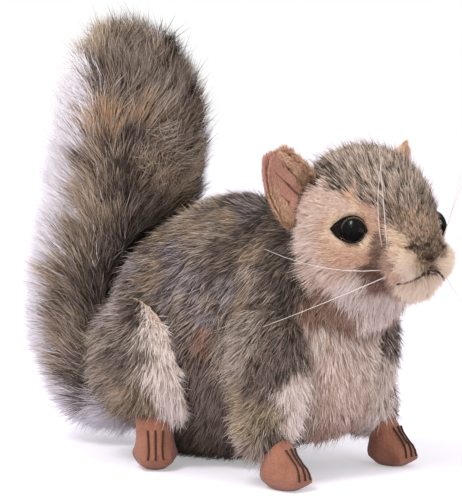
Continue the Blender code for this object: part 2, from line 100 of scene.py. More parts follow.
def seen_at(node, across, down):
    """Where the line of sight through a pixel meets a node, and the way out of the node there."""
    point = (
        aim
        + right * (across - PICTURE[0] / 2) * PIXEL
        - upward * (down - PICTURE[1] / 2) * PIXEL
    )
    ray = (point - eye_point).normalized()
    spot, out, _, _ = form(node).ray_cast(eye_point, ray)
    if spot is None:
        abreast = eye_point + ray * (middle_of(node) - eye_point).dot(ray)
        spot, out, _, _ = form(node).find_nearest(abreast)
    return spot, out


def way_seen(out, across, down):
    """The way along a surface that looks like a way in the picture."""
    views = np.array([right, upward, out * OUT_WEIGHT, to_camera * SIGHT_WEIGHT])
    way = Vector(np.linalg.lstsq(views, np.array([across, -down, 0, 0]), rcond=None)[0])
    return (way - out * way.dot(out)).normalized()


# Torso. A sewn bag of long-pile plush round polyester stuffing: the cloth lies a few
# millimetres inside the CAD form, and the pile, combed from neck to rump, fills the rest.

# The dyes of the pile, each as root, middle and tip of its darkest and of its lightest strands.
DYES = {
    "grey": ("38302c 584c45 473e38", "63574e bda998 ebdacb"),
    "dark": ("272220 3d3531 2c2724", "453d37 836f64 c0ac9b"),
    "slate": ("302b2b 4c4646 3a3535", "685f5f b6a6a4 dccfcc"),
    "olive": ("3a312a 62523f 4a3f33", "62533f b59d82 e0ceb2"),
    "brown": ("2e241e 56443a 42352c", "66523f ae967f e2d6ce"),
    "tan": ("56463b 84705f 9a8370", "7c6a5a bea58c e6d5c0"),
    "rust": ("54402f 86664a 9a7656", "7c624c b89476 e0c8ac"),
    "white": ("b8acb0 d8ced4 e8e0e6", "dcd4d8 f4eef2 fffcff"),
    "milk": ("b39d8e d8c4b6 e8d8ca", "dac8ba f6e4d8 fff6ee"),
    "cream": ("9e8476 c8ad9c e0c8b8", "d2beb0 fcebe0 fffaf6"),
    "pink": ("86685a b28f7e c8a896", "ad8f7e d6b9a8 efdccc"),
    "russet": ("62443a 85624f a07e6c", "866455 b2907c d8bba8"),
    # under: the pile of the undersides and of the belly between the legs, darkened as painted shade
    "under": ("40362f 5c4e46 6e6057", "5e5048 8b7b70 b4a497"),
    "peach": ("a67a62 c89e84 d8ae96", "cca58c e4c0a6 f4d6c2"),
    "blush": ("b08f7e d3b3a0 e2c5b4", "d0b5a4 ecd4c5 faeade"),
    "pale": ("c4a284 e4c6a6 eed4b8", "dcc0a2 f6e0c8 fff2e2"),
    "umber": ("4e3a30 735548 8d6e5e", "7d6052 a68574 ccac9a"),
    "crown": ("2c2420 40342d 251e1a", "62524a c4aa97 f0dfd0"),
    "bridge": ("2a201a 4c3c32 3a2e27", "806854 c6a68c e6c8ae"),
    "nose": ("1c1512 2e2420 3a2e28", "3a2c26 5c4a40 7a665a"),
    "velour": ("845a4c c08672 d69c86", "b07866 e2b09c f4c8b4"),
    "flap": ("4e3b2e 9c765a bc9272", "a27e64 e8ba98 fcdcc0"),
    # painted shade along the ear lining's folds and at its base
    "fold": ("30231d 45322a 523d32", "6a4c3f 8a6453 9a7260"),
}
DARKEST, LIGHTEST = 0.1, 0.9  # where a dye's ends lie in its part of the dye map
NAP = 0.002  # of the dye map, which one strand is wide
FUR_LIMIT = 183000  # triangles in one piece of fur
SHORT_PILE = 0.0046  # up to this length a strand is one straight triangle
LOWEST = 0.0002  # no strand comes nearer to the ground
MINGLE = 0.0015  # how far one piece's pile grows into the form of the next
PRESS = 0.0025  # how far a hard piece presses the cloth in
LID_REACH = 0.005  # how far over the cloth a hard piece still counts
WELD, TINY = 1e-6, 1e-9  # metres that count as none, and a divisor's least value

# How strands differ from each other. A pair is the lowest and the highest share.
SWIRL_SIZE, LENGTH_SIZE, WANDER_SIZE = 0.024, 0.012, 0.016  # metres, of the waves through the pile
LENGTH_WAVE = 0.1  # of the length
WANDER = 0.7  # of a stroke's softness, for the wavy border of two dyes
WAVE_RATES = (0.6, 1.6)  # of one wave for each size
WAVE_PEAK = 1.6  # standard deviations that count as a full wave
LENGTHS, WIDTHS, CLUMPS = (0.65, 1.15), (0.6, 1.3), (0.3, 1.2)
WIDER_BY_LENGTH, SPARSER_BY_LENGTH = 0.4, 0.9  # powers of the length
DYE_SPREAD = 0.6  # of the logarithm of nearness
ANGLE_SPREAD, ROLL_SPREAD = 0.14, 0.45  # radians
FINE_SIZE, FINE_DEPTH = 0.4, 0.6  # of the mottle's own, for the finer mottle on it
MARK_REACH, MARK_SPREAD = (0.5, 1.2), 0.5
TAPER = 0.5  # of a strand's width, lost between its root and its point
ROOT_V, TIP_V = 0.01, 0.99  # of the dye map
TO_MIDDLE, TO_TIP = (0.05, 0.5), (0.5, 1.0)  # along the strand, where one colour leads to the next
SMOOTHING = 3  # passes over the cloth

# Strokes of the comb, as the picture shows them: the pixel, the way there, the pile's length in
# millimetres, its dye and how light it is. Where the picture can't see, the place is given in
# millimetres on the three axes, and the way along them. A mark dyes a short line, such as a
# nostril, or paints shade along a crease or fold: the pixels of its two ends, its reach to each
# side in millimetres, its dye and how light it is.
# The russet strokes on the chest below the cheek are painted shade.
# The under strokes on the belly between the legs and on the torso's underside by the ground are
# painted shade.
TORSO_STROKES = """
206 201 -1.0 -0.2 6.8 grey 0.4
239 195 -1.0 -0.3 6.8 dark 0.5
200 196 -0.9 0.1 6.8 grey 0.5
170 224 -0.9 0.3 6.8 grey 0.5
210 225 -1.0 0.3 7.5 grey 0.5
255 225 -0.8 0.5 6.8 dark 0.6
279 251 -0.6 0.8 7.5 dark 0.5
150 250 -0.8 0.6 7.5 grey 0.6
190 259 -0.8 0.6 7.5 grey 0.5
225 260 -0.6 0.8 8.2 dark 0.6
250 266 -0.6 0.8 8.2 grey 0.7
131 280 -0.8 0.6 7.5 grey 0.4
181 291 -0.5 0.9 9 grey 0.6
210 299 -0.4 0.9 9 grey 0.8
185 322 -0.4 0.9 9 grey 0.6
222 330 -0.4 0.9 9 grey 0.6
203 340 -0.3 0.9 9 russet 0.2
225 365 -0.3 0.9 9 grey 0.7
200 362 -0.3 0.9 9 dark 1
210 385 -0.3 1 9 under 1
206 419 -0.3 0.9 9 under 0.7
224 441 -0.4 0.9 7.5 under 0.4
289 290 -0.4 0.9 8.2 dark 0.5
320 310 0.0 1.0 9 russet 0.5
345 315 0.0 1.0 9 russet 0.5
311 345 -0.1 1.0 9 cream 0.5
340 349 -0.1 1 9 cream 0.5
370 345 0.1 1.0 9 cream 0.5
325 375 -0.1 1 9 cream 0.35
350 380 0.1 1.0 9 cream 0.6
331 401 -0.1 1 8 cream 0
360 405 0.1 1 8.2 cream 0.1
345 425 -0.1 1.0 7.5 pink 0.3
0 -34 8 0 1 0 8 under 0.5
0 36 2 0 1 0 5 under 0.4
0 76 40 0 0.4 0.9 9 dark 0.4
0 76 90 0 0.4 0.9 9 grey 0.3
245 210 -1 0.1 7 slate 0.2
192 197 -1 -0.1 7 tan 0.8
200 225 -0.9 0.3 7 tan 0.3
155 268 -0.8 0.6 7 tan 0.3
140 243 -0.8 0.6 7 dark 0.7
170 250 -0.8 0.6 7 slate 0.3
175 285 -0.6 0.8 7 slate 0.3
120 256 -0.8 0.6 7 slate 0.9
183 264 -0.7 0.7 7 slate 0.5
192 280 -0.5 0.9 7 slate 0.9
215 262 -0.7 0.7 7 dark 0.8
250 252 -0.7 0.7 7 tan 0.3
225 290 -0.4 0.9 7 slate 0.6
160 225 -0.9 0.4 7 tan 0.2
230 215 -0.9 0.2 7 tan 0.2
240 300 -0.4 0.9 8 tan 0.3
205 315 -0.4 0.9 8 slate 0.7
260 300 -0.4 0.9 8 grey 0.4
345 410 0 1 8 cream 0.1
"""


def linear(colour):
    """A colour that is written as sRGB hex, as the shader's linear numbers."""
    parts = [int(colour[n : n + 2], 16) / 255 for n in (0, 2, 4)]
    return [c / 12.92 if c <= 0.04045 else ((c + 0.055) / 1.055) ** 2.4 for c in parts] + [1.0]


def add_node(tree, kind, inputs=(), **settings):
    """A shader node with its settings, and its inputs by place or name: each is a value, or a
    socket to link."""
    node = tree.nodes.new(kind)
    for name, value in settings.items():
        setattr(node, name, value)
    for place, value in dict(inputs).items():
        if isinstance(value, bpy.types.NodeSocket):
            tree.links.new(value, node.inputs[place])
        else:
            node.inputs[place].default_value = value
    return node


def new_material(name, roughness, specular, colour="ffffff"):
    """A material, its node tree and its Principled shader."""
    made = bpy.data.materials.new(name)
    made.use_nodes = True
    shader = made.node_tree.nodes["Principled BSDF"]
    shader.inputs["Roughness"].default_value = roughness
    shader.inputs["Specular IOR Level"].default_value = specular
    shader.inputs["Base Color"].default_value = linear(colour)
    return made, made.node_tree, shader


def pile_material(name, dyes):
    """Dyed pile. On a strand's map, u is its dye and how light it is, and v runs root to tip."""
    made, tree, shader = new_material(name, roughness=0.8, specular=0.2)
    place = add_node(tree, "ShaderNodeUVMap", uv_map="OFBake")
    split = add_node(tree, "ShaderNodeSeparateXYZ", {0: place.outputs[0]})
    ramps = []
    for part in range(3):
        ramp = add_node(tree, "ShaderNodeValToRGB", {0: split.outputs[0]})
        stops = ramp.color_ramp.elements
        for number, dye in enumerate(dyes):
            for end, strand in zip((DARKEST, LIGHTEST), DYES[dye]):
                at = (number + end) / len(dyes)
                first = number == 0 and end == DARKEST
                stop = stops[0] if first else stops.new(at)
                stop.position = at
                stop.color = linear(strand.split()[part])
        stops.remove(stops[-1])
        ramps.append(ramp.outputs[0])
    colour = ramps[0]
    for other, (low, high) in ((ramps[1], TO_MIDDLE), (ramps[2], TO_TIP)):
        share = add_node(
            tree,
            "ShaderNodeMapRange",
            {0: split.outputs[1], 1: low, 2: high},
            interpolation_type="SMOOTHSTEP",
        )
        mix = add_node(tree, "ShaderNodeMixRGB", {0: share.outputs[0], 1: colour, 2: other})
        colour = mix.outputs[0]
    tree.links.new(colour, shader.inputs["Base Color"])
    return SimpleNamespace(made=made, dyes=dyes)


def backing_material(name):
    """Knitted backing cloth, dyed with the pile, which shows only between the strands."""
    made, tree, shader = new_material(name, roughness=0.95, specular=0.1)
    dye = add_node(tree, "ShaderNodeVertexColor", layer_name="dye")
    tree.links.new(dye.outputs[0], shader.inputs["Base Color"])
    return made


def mesh_object(name, mesh, material):
    """A mesh as a smooth object of one material, which rides the toy."""
    made = bpy.data.objects.new(name, mesh)
    bpy.context.scene.collection.objects.link(made)
    mesh.materials.clear()
    mesh.materials.append(material)
    mesh.shade_smooth()
    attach(made, "root")
    return made


def array_of(items, name, kind, width):
    """Numbers of a mesh, as an array with one row for each item."""
    found = np.empty(len(items) * width, kind)
    items.foreach_get(name, found)
    return found.reshape(-1, width)


def unit(rows):
    """Ways, each brought to a length of one."""
    return rows / np.maximum(np.linalg.norm(rows, axis=-1, keepdims=True), TINY)


def waves(at, size, seed, turns=6):
    """Smooth chance values from about -1 to 1 at places, with features of a real size."""
    rng = np.random.default_rng(seed)
    total = np.zeros(len(at))
    for _ in range(turns):
        way = unit(rng.normal(size=3)) * math.tau / size * rng.uniform(*WAVE_RATES)
        total += np.sin(at @ way + rng.uniform(0, math.tau))
    return total / math.sqrt(turns / 2) / WAVE_PEAK


def strokes(table, node, pair, soft=0.003):
    """A comb: its strokes and marks on a node, and their mirror images in the upright plane
    between a pair of nodes. How far a stroke stays sharp is soft."""
    spots, ways, longs, dyes, lights, marks = [], [], [], [], [], []
    for row in (line.split() for line in table.strip().splitlines()):
        if row[0] == "mark":
            ends = [seen_at(node, float(row[n]), float(row[n + 1]))[0] for n in (1, 3)]
            marks.append((*map(np.array, ends), float(row[5]) / 1000, row[6], float(row[7])))
            continue
        if len(row) == 7:
            spot, out = seen_at(node, float(row[0]), float(row[1]))
            way = way_seen(out, float(row[2]), float(row[3]))
        else:
            spot = Vector([float(value) / 1000 for value in row[:3]])
            way = Vector([float(value) for value in row[3:6]])
        spots.append(spot)
        ways.append(way)
        longs.append(float(row[-3]) / 1000)
        dyes.append(row[-2])
        lights.append(float(row[-1]))
    spots, ways = np.array(spots), unit(np.array(ways))
    middle = np.array((middle_of(pair[0]) + middle_of(pair[1])) / 2)
    side = np.array(middle_of(pair[1]) - middle_of(pair[0]))
    side[2] = 0
    side = unit(side)

    def mirrored(at):
        return at - 2 * ((at - middle) @ side)[..., None] * side

    marks += [(mirrored(a), mirrored(b), *rest) for a, b, *rest in marks]
    return SimpleNamespace(
        spot=np.concatenate([spots, mirrored(spots)]),
        way=np.concatenate([ways, ways - 2 * (ways @ side)[:, None] * side]),
        long=np.array(longs * 2),
        dye=np.array(dyes * 2),
        light=np.array(lights * 2),
        marks=marks,
        soft=soft,
    )


def nearness(comb, at):
    """How much each stroke counts at each place."""
    apart = (at**2).sum(1)[:, None] + (comb.spot**2).sum(1) - 2 * at @ comb.spot.T
    return 1 / (apart.clip(0) + comb.soft**2) ** 2


def shares(comb, at):
    """How much each stroke counts at each place, as shares that add up to one."""
    near = nearness(comb, at)
    return near / near.sum(1, keepdims=True)


def beneath(at, out, lids):
    """Which places lie under hard pieces: the way out from them meets a form in lids."""
    found = np.zeros(len(at), bool)
    for node in lids:
        corners = array_of(nodes[node].data.vertices, "co", np.float32, 3)
        low, high = corners.min(0) - LID_REACH, corners.max(0) + LID_REACH
        for place in np.flatnonzero(((at > low) & (at < high)).all(1) & ~found):
            hit = form(node).ray_cast(Vector(at[place]), Vector(out[place]), LID_REACH)
            found[place] = hit[0] is not None
    return found


def cloth(node, comb, grain, depth, lids=()):
    """The cloth of a stuffed form: its CAD mesh merged, evened out to a grain and drawn in by
    depth, a share of the pile's length, with the colour of the pile's roots. Under the hard
    pieces in lids it is pressed in."""
    bm = bmesh.new()
    bm.from_mesh(nodes[node].data)
    bmesh.ops.remove_doubles(bm, verts=bm.verts, dist=WELD)
    rough = bpy.data.meshes.new(node + "_rough")
    bm.to_mesh(rough)
    bm.free()
    holder = bpy.data.objects.new(node + "_rough", rough)
    bpy.context.scene.collection.objects.link(holder)
    even = holder.modifiers.new("even", "REMESH")
    even.mode = "VOXEL"
    even.voxel_size = grain
    holder.modifiers.new("smooth", "SMOOTH").iterations = SMOOTHING
    graph = bpy.context.evaluated_depsgraph_get()
    mesh = bpy.data.meshes.new_from_object(holder.evaluated_get(graph))
    bpy.data.objects.remove(holder)
    spot = array_of(mesh.vertices, "co", np.float32, 3).astype(float)
    out = array_of(mesh.vertices, "normal", np.float32, 3)
    near = shares(comb, spot)
    spot = spot - out * (near @ comb.long)[:, None] * depth
    spot -= out * PRESS * beneath(spot, out, lids)[:, None]
    mesh.vertices.foreach_set("co", spot.astype(np.float32).ravel())
    mesh.update()
    shades = {dye: np.array(linear(DYES[dye][0].split()[1])) for dye in set(comb.dye)}
    colour = near @ np.array([shades[dye] for dye in comb.dye])
    layer = mesh.color_attributes.new("dye", "FLOAT_COLOR", "POINT")
    layer.data.foreach_set("color", colour.astype(np.float32).ravel())
    made = mesh_object(node + "_cloth", mesh, backing)
    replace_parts(made, node)
    return made


def plant(mesh, comb, count, rng):
    """Places over a cloth, closer together where the pile is short, and the way out at each."""
    mesh.calc_loop_triangles()
    corner = array_of(mesh.loop_triangles, "vertices", np.int32, 3)
    spot = array_of(mesh.vertices, "co", np.float32, 3).astype(float)
    out = array_of(mesh.vertices, "normal", np.float32, 3)
    a, b, c = (spot[corner[:, n]] for n in range(3))
    long = shares(comb, (a + b + c) / 3) @ comb.long
    weight = np.linalg.norm(np.cross(b - a, c - a), axis=1) / long**SPARSER_BY_LENGTH
    pick = rng.choice(len(corner), count, p=weight / weight.sum())
    first, second = np.sqrt(rng.random(count)), rng.random(count)
    share = np.stack([1 - first, first * (1 - second), first * second], 1)[:, :, None]
    at = (spot[corner[pick]] * share).sum(1)
    return at, unit((out[corner[pick]] * share).sum(1))


def blade(segments):
    """One strand as a flat blade along +Y, one unit long and one wide, that ends in a point."""
    bm = bmesh.new()
    bmesh.ops.create_grid(bm, x_segments=1, y_segments=segments, size=0.5)
    bmesh.ops.translate(bm, verts=bm.verts, vec=(0, 0.5, 0))
    tip = [v for v in bm.verts if v.co.y > 1 - WELD]
    bmesh.ops.pointmerge(bm, verts=tip, merge_co=(0, 1, 0))
    bm.verts.index_update()
    shape = np.array([v.co[:2] for v in bm.verts])
    faces = [[v.index for v in f.verts] for f in bm.faces]
    bm.free()
    return shape, faces


def covered(at, by):
    """Which places lie closer to the CAD forms of other nodes than each one's least distance,
    which is below zero where the piles of two pieces mingle."""
    found = np.zeros(len(at), bool)
    for node, closer in by.items():
        low, high = (np.array(corner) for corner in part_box(node))
        close = ((at > low - closer) & (at < high + closer)).all(1) & ~found
        for place in np.flatnonzero(close):
            spot = Vector(at[place])
            near, out, _, distance = form(node).find_nearest(spot)
            found[place] = math.copysign(distance, (spot - near).dot(out)) < closer
    return found


def mingled(*others):
    """Least distances for covered, from pieces whose pile mingles with this one's."""
    return dict.fromkeys(others, -MINGLE)


def strand_mesh(name, parts):
    """A mesh of blades, from parts that each hold places, faces, dye map and ways out."""
    mesh = bpy.data.meshes.new(name)
    spots, corners, sizes, places, outs = [], [], [], [], []
    before = 0
    for spot, faces, place, out in parts:
        flat = np.concatenate(faces)
        firsts = np.arange(len(spot)) * spot.shape[1] + before
        corners.append((flat[None] + firsts[:, None]).ravel())
        sizes.append(np.tile([len(face) for face in faces], len(spot)))
        spots.append(spot.reshape(-1, 3))
        outs.append(out.reshape(-1, 3))
        places.append(place[:, flat].reshape(-1, 2))
        before += len(spots[-1])
    spots, corners, sizes = map(np.concatenate, (spots, corners, sizes))
    mesh.vertices.add(len(spots))
    mesh.loops.add(len(corners))
    mesh.polygons.add(len(sizes))
    mesh.vertices.foreach_set("co", spots.astype(np.float32).ravel())
    mesh.loops.foreach_set("vertex_index", corners.astype(np.int32))
    starts = np.concatenate([[0], sizes.cumsum()[:-1]])
    mesh.polygons.foreach_set("loop_start", starts.astype(np.int32))
    mesh.update(calc_edges=True)
    layer = mesh.uv_layers.new(name="OFBake")
    layer.uv.foreach_set("vector", np.concatenate(places).astype(np.float32).ravel())
    return mesh, np.concatenate(outs)


def fur(
    name,
    skin,
    comb,
    pile,
    count,
    seed,
    by,
    lids=(),
    wide=0.0003,
    lift=38,
    lay=8,
    clump=0.22,
    flock=7,
    stray=0.16,
    swirl=0.25,
    clear=0.3,
    sheer=0.55,
    guard=(0.12, 1.35, 14),
    fleck=0.6,
    mottle=(0.016, 0.2, 0.36),
):
    """The pile of one piece, with count strands before some are left out, each about as wide as
    wide. A strand leaves the cloth at the angle lift, bends over to the angle lay along the
    comb's strokes, and draws together with its flock, of about flock strands, by the share
    clump. Stray turns single strands off the strokes, and swirl whole patches. Sheer is the
    share of the shading that follows the cloth. Guard hairs, by their share, their extra length
    and their extra angle, stand out of the pile. Mottle is the size and depth of light and dark
    patches and the spread of single strands, and fleck is that spread's share for flocks. No
    strand grows under lids, or where by covers it at the share clear of its length."""
    rng = np.random.default_rng(seed)
    at, out = plant(skin.data, comb, count, rng)
    long = shares(comb, at) @ comb.long
    triangles = np.where(long < SHORT_PILE, 1, 3)
    shown = ~covered(at + out * (long * clear)[:, None], by) & ~beneath(at, out, lids)
    shown &= (triangles * shown).cumsum() < FUR_LIMIT
    at, out = at[shown], out[shown]
    near = shares(comb, at)
    long = near @ comb.long
    total = len(at)
    leaders = rng.permutation(total)[: max(total // flock, 1)]
    tree = kdtree.KDTree(len(leaders))
    for place, leader in enumerate(leaders):
        tree.insert(at[leader], place)
    tree.balance()
    group = np.array([tree.find(spot)[1] for spot in at])
    way = near @ comb.way
    way += swirl * np.stack([waves(at, SWIRL_SIZE, seed + n) for n in (1, 2, 3)], 1)
    way += rng.normal(0, stray, (len(leaders), 3))[group] + rng.normal(0, stray, (total, 3))
    way = unit(way - out * (way * out).sum(1, keepdims=True))
    long = long * rng.uniform(*LENGTHS, total)
    long = long * (1 + LENGTH_WAVE * waves(at, LENGTH_SIZE, seed + 4))
    guards = rng.random(total) < guard[0]
    long[guards] *= guard[1]

    wander = np.stack([waves(at, WANDER_SIZE, seed + n) for n in (5, 6, 7)], 1)
    chance = np.log(nearness(comb, at + WANDER * comb.soft * wander))
    chance += rng.gumbel(0, DYE_SPREAD, chance.shape)
    dye = np.array([pile.dyes.index(name) for name in comb.dye])[chance.argmax(1)]
    size, deep, own = mottle
    light = near @ comb.light + deep * waves(at, size, seed + 8)
    light += deep * FINE_DEPTH * waves(at, size * FINE_SIZE, seed + 9)
    light += rng.normal(0, own * fleck, len(leaders))[group] + rng.normal(0, own, total)
    # Marks: dyed lines such as the nostrils and the mouth, and painted shade along the tail's creases
    # and the ear's folds.
    for first, last, breadth, mark_dye, mark_light in comb.marks:
        line = last - first
        share = ((at - first) @ line / max(line @ line, TINY)).clip(0, 1)
        apart = np.linalg.norm(at - first - share[:, None] * line, axis=1)
        hit = apart < breadth * rng.uniform(*MARK_REACH, total)
        dye[hit] = pile.dyes.index(mark_dye)
        light[hit] = mark_light + rng.normal(0, own * MARK_SPREAD, hit.sum())
    tone = (dye + DARKEST + (LIGHTEST - DARKEST) * light.clip(0, 1)) / len(pile.dyes)

    angles = np.radians([lift, lay])[:, None] + rng.normal(0, ANGLE_SPREAD, (2, total))
    angles += math.radians(guard[2]) * guards
    start, finish = (way * np.cos(a)[:, None] + out * np.sin(a)[:, None] for a in angles)
    end = at + long[:, None] * (start + finish) / 2
    pull = (end[leaders[group]] - end) * (clump * rng.uniform(*CLUMPS, total) * ~guards)[:, None]
    pull *= np.minimum(1, long / np.maximum(np.linalg.norm(pull, axis=1), TINY))[:, None]
    roll = rng.normal(0, ROLL_SPREAD, total)
    side = np.cross(way, out) * np.cos(roll)[:, None] + out * np.sin(roll)[:, None]
    face_out = np.cross(side, way)
    shade = unit(out * sheer + face_out * (1 - sheer))
    breadth = wide * rng.uniform(*WIDTHS, total) * (long / long.mean()) ** WIDER_BY_LENGTH
    parts = []
    for segments, mine in ((1, long < SHORT_PILE), (2, long >= SHORT_PILE)):
        shape, faces = blade(segments)
        x, y = shape[:, 0], shape[:, 1]
        along, across = y[None, :, None], (x * (1 - TAPER * y))[None, :, None]
        spots = at[mine][:, None] + long[mine][:, None, None] * (
            start[mine][:, None] * along + (finish - start)[mine][:, None] * along**2 / 2
        )
        spots = spots + pull[mine][:, None] * along**2
        spots += side[mine][:, None] * across * breadth[mine][:, None, None]
        spots[:, :, 2] = np.maximum(spots[:, :, 2], LOWEST)
        rise = np.tile(y * (TIP_V - ROOT_V) + ROOT_V, (mine.sum(), 1))
        place = np.stack([tone[mine][:, None] + (x * NAP)[None], rise], 2)
        parts.append((spots, faces, place, np.repeat(shade[mine][:, None], len(shape), 1)))
    mesh, outs = strand_mesh(name, parts)
    mesh_object(name, mesh, pile.made)
    mesh.normals_split_custom_set_from_vertices(outs.astype(np.float32))


backing = backing_material("plush backing cloth, knitted and dyed")
body_plush = pile_material(
    "grey and cream plush, dyed and brushed pile",
    ["grey", "dark", "slate", "tan", "olive", "cream", "pink", "russet", "under"],
)
SIDES = ("right", "left")
LEGS = ("foreleg_right", "foreleg_left", "haunch_right", "haunch_left")
FOREPAWS = ("forepaw_right", "forepaw_left")

torso_comb = strokes(TORSO_STROKES, "torso", FOREPAWS)
fur(
    "torso_fur",
    cloth("torso", torso_comb, grain=0.004, depth=0.32),
    torso_comb,
    body_plush,
    count=120000,
    seed=11,
    by=mingled("head", "tail", *LEGS),
    clump=0.14,
    flock=5,
    mottle=(0.011, 0.2, 0.4),
)


# Legs. Tubes of the same plush on the shoulder and the hip, cream on their front and inner
# side, with tufts that are brushed backward above the feet.

# The under strokes on the legs' hidden lower sides are painted shade.
FORELEG_STROKES = """
250 324 -0.5 0.85 11 grey 0.58
235 340 -0.5 0.85 11 grey 0.78
275 330 -0.3 0.95 10 dark 0.58
258 362 -0.1 1 10 dark 0.58
234 370 -0.5 0.85 11 grey 0.88
280 365 0 1 10 dark 0.48
258 385 -0.5 0.8 9 dark 0.38
238 393 -0.8 0.5 9 olive 0.58
265 405 -0.3 0.95 9 olive 0.58
247 425 -0.7 0.7 9 olive 0.88
238 440 -0.7 0.6 9 grey 0.78
252 452 -0.6 0.8 9 grey 0.68
277 440 0 1 8 dark 0.58
276 412 0 1 9 olive 0.38
300 404 0 1 9 cream 1
303 428 0.3 0.95 9 cream 1
309 450 0.3 0.9 8 cream 1
295 385 0 1 9 cream 1
-29 -64 30 0 0 -1 8 cream 0.6
-29 -54 40 0 0 -1 8 cream 0.3
-31 -44 25 0 0.3 -1 8 under 0.5
293 415 0 1 9 cream 1
296 440 0.2 1 9 cream 1
306 415 0.1 1 9 cream 1
"""

HAUNCH_STROKES = """
128 300 -0.8 0.3 9 dark 0.6
106 306 -0.7 0.5 9 dark 0.7
98 292 -0.8 0.4 9 slate 0.9
134 312 -0.5 0.7 9 dark 0.5
125 330 -0.8 0.5 9 grey 0.1
98 345 -0.6 0.8 9 grey 0.5
140 350 -0.1 1 9 grey 0.2
120 362 -0.7 0.6 9 dark 0.8
125 348 -0.7 0.6 9 grey 0
115 385 -0.8 0.5 9 tan 0.6
100 385 -0.7 0.7 11 grey 0.4
140 385 -0.2 1 9 olive 0.35
122 410 -0.7 0.6 9 olive 0.8
118 428 -0.6 0.8 10 grey 0.3
140 405 -0.2 1 8 olive 0.35
157 297 0.1 1 7 cream 1
152 303 -0.2 1 7 cream 1
164 324 0.7 0.7 10 cream 1
166 352 0.05 1 9 cream 1
172 391 0.1 1 9 cream 1
183 412 0.1 1 9 cream 1
187 432 0.15 1 9 cream 1
178 340 0.8 0.6 11 cream 1
190 390 0.7 0.7 11 cream 1
-36 16 24 0 0.5 -0.9 8 under 0.5
-40 50 40 0 0.5 -0.9 9 under 0.5
160 310 0.2 1 9 cream 1
174 365 0.7 0.7 11 cream 1
160 375 0.1 1 9 cream 1
178 405 0.6 0.8 10 cream 1
157 335 0.2 1 9 cream 1
160 352 0.1 1 9 cream 1
163 385 0.1 1 9 cream 1
170 420 0.1 1 9 cream 1
"""

for part, table, count, seed in (
    ("foreleg", FORELEG_STROKES, 19000, 31),
    ("haunch", HAUNCH_STROKES, 20000, 41),
):
    comb = strokes(table, part + "_right", FOREPAWS)
    for side in SIDES:
        node = f"{part}_{side}"
        fur(
            node + "_fur",
            cloth(node, comb, grain=0.0028, depth=0.32),
            comb,
            body_plush,
            count,
            seed,
            by=mingled("torso", "tail", *(leg for leg in LEGS if leg != node)),
            wide=0.00034,
            lift=42,
            lay=12,
            clump=0.14,
            flock=5,
            clear=0.5,
            mottle=(0.01, 0.2, 0.4),
        )


# Tail. A stuffed sleeve of the longest pile, brushed up and outward: mottled brown, with a rust
# patch over a crease in its upper half that is darkened with painted shade, and white pile let in
# along its back.

